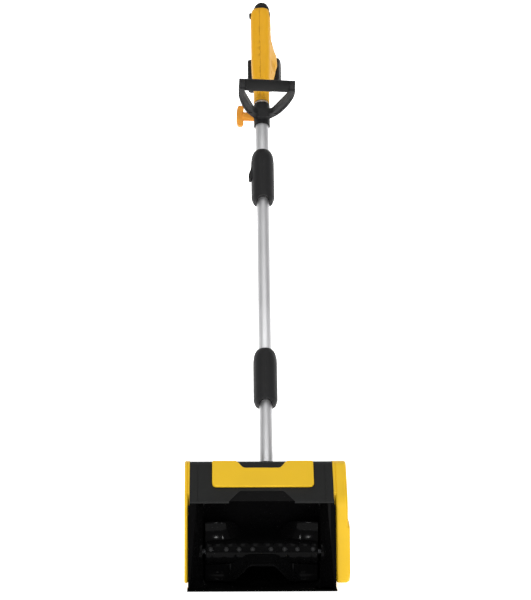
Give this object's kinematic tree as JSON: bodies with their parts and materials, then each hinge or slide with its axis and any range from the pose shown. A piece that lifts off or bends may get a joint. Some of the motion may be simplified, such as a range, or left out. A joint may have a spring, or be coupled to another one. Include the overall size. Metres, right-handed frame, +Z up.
{
  "type": "powered snow shovel",
  "caption": "Cordless snow shovel with a paddle rotor in a black scoop, yellow covers, a telescoping pole, a D-handle and a rear trigger handle.",
  "frame": {"origin": "middle of the head's flat underside, on the ground", "axes": "+Z up, -Y towards the mouth where the snow goes in, +X to the right of someone who looks into the mouth; the pole leans back to +Y"},
  "size_m": [0.3165, 0.7142, 1.1958],
  "materials": {
    "scoop_plastic": "smooth black polypropylene with a soft gloss",
    "black_plastic": "fine-grained black moulding",
    "yellow_plastic": "semi-gloss yellow moulding",
    "orange_plastic": "semi-gloss orange-yellow moulding",
    "grey_plastic": "glass-filled grey moulding",
    "black_rubber": "black rubber",
    "tube_aluminium": "satin anodised tube",
    "steel": "zinc-plated steel",
    "motor_steel": "dark painted motor can",
    "circuit_board": "green circuit board"
  },
  "bodies": {
    "head": {"scoop_housing": "scoop_plastic", "front_hood": "black_plastic", "hood_trim_plate": "yellow_plastic", "rear_cover": "black_plastic", "side_cover": "yellow_plastic", "belt_cover": "yellow_plastic", "scraper_blade": "scoop_plastic", "drive_belt": "black_rubber", "motor_can": "motor_steel", "motor_cradle": "grey_plastic", "control_board": "circuit_board", "bearing_left": "steel", "bearing_right": "steel", "pole_socket": "black_plastic", "lower_tube": "tube_aluminium", "socket_bolt": "steel", "middle_tube": "tube_aluminium", "lower_coupler_front": "black_plastic", "lower_coupler_back": "black_plastic", "lower_coupler_screw_1": "steel", "lower_coupler_screw_2": "steel"},
    "rotor": {"rotor_axle": "motor_steel", "rotor_drum": "black_plastic", "paddle_a": "black_rubber", "paddle_b": "black_rubber", "paddle_clamp_a": "black_plastic", "paddle_clamp_b": "black_plastic", "rotor_pulley": "grey_plastic"},
    "motor_rotor": {"motor_shaft": "steel", "motor_armature": "motor_steel", "cooling_fan": "black_plastic", "motor_pulley": "steel"},
    "upper_pole": {"upper_tube": "tube_aluminium", "upper_coupler_front": "black_plastic", "upper_coupler_back": "black_plastic", "upper_coupler_screw_1": "steel", "upper_coupler_screw_2": "steel", "lever_pin": "steel", "handle_shell_left": "yellow_plastic", "handle_shell_right": "yellow_plastic", "handle_end_cap": "black_rubber", "handle_screw_1": "steel", "handle_screw_2": "steel", "handle_screw_3": "steel", "trigger_pin": "steel", "switch_module": "grey_plastic", "terminal_block": "black_plastic"},
    "lock_lever": {"cam_lever": "black_plastic"},
    "handle_slide": {"d_handle_liner": "grey_plastic"},
    "d_handle": {"d_handle_frame": "black_plastic", "d_handle_grip": "black_rubber", "clamp_bolt": "steel"},
    "knob": {"clamp_knob": "orange_plastic"},
    "trigger": {"trigger": "black_plastic"},
    "lock_off": {"lock_off_button": "black_plastic"},
    "battery": {"battery_pack": "black_plastic"},
    "battery_release": {"battery_latch": "grey_plastic"}
  },
  "joints": [
    {"name": "rotor_spin", "type": "hinge", "parent": "head", "child": "rotor", "pos_m": [0, -0.0395, 0.067], "axis": [1, 0, 0], "continuous": true},
    {"name": "motor_spin", "type": "hinge", "parent": "head", "child": "motor_rotor", "pos_m": [0, 0.0755, 0.095], "axis": [1, 0, 0], "continuous": true},
    {"name": "pole_slide", "type": "slide", "parent": "head", "child": "upper_pole", "axis": [0, 0.4695, 0.8829], "range_m": [-0.16, 0.03]},
    {"name": "lever_swing", "type": "hinge", "parent": "upper_pole", "child": "lock_lever", "pos_m": [-0.0075, 0.38268, 0.83217], "axis": [0, 0.8829, -0.4695], "range_deg": [0, 90]},
    {"name": "d_handle_slide", "type": "slide", "parent": "upper_pole", "child": "handle_slide", "axis": [0, 0.4695, 0.8829], "range_m": [-0.04, 0]},
    {"name": "d_handle_swivel", "type": "hinge", "parent": "handle_slide", "child": "d_handle", "pos_m": [0.012, 0.43761, 0.93547], "axis": [0, 0.4695, 0.8829], "range_deg": [-30, 30]},
    {"name": "knob_turn", "type": "hinge", "parent": "d_handle", "child": "knob", "pos_m": [-0.01968, 0.46243, 0.93586], "axis": [0.9973, 0.0647, -0.0344], "range_deg": [0, 360]},
    {"name": "trigger_pull", "type": "hinge", "parent": "upper_pole", "child": "trigger", "pos_m": [0.01407, 0.57128, 1.15094], "axis": [-0.9925, 0.1076, -0.0572], "range_deg": [0, 8], "stiffness_Nm_per_rad": 0.8, "springref_deg": -14.32},
    {"name": "lock_off_press", "type": "slide", "parent": "upper_pole", "child": "lock_off", "axis": [0.9925, -0.1076, 0.0572], "range_m": [0, 0.003], "stiffness_N_per_m": 800, "springref_m": -0.002},
    {"name": "battery_release_slide", "type": "slide", "parent": "upper_pole", "child": "battery", "axis": [0, -0.4695, -0.8829], "range_m": [0, 0.07]},
    {"name": "latch_press", "type": "slide", "parent": "battery", "child": "battery_release", "axis": [-0.1219, -0.8764, 0.466], "range_m": [0, 0.002], "stiffness_N_per_m": 800, "springref_m": -0.002}
  ],
  "couplings": [
    {"joint": "motor_spin", "follows": "rotor_spin", "ratio": 3}
  ]
}
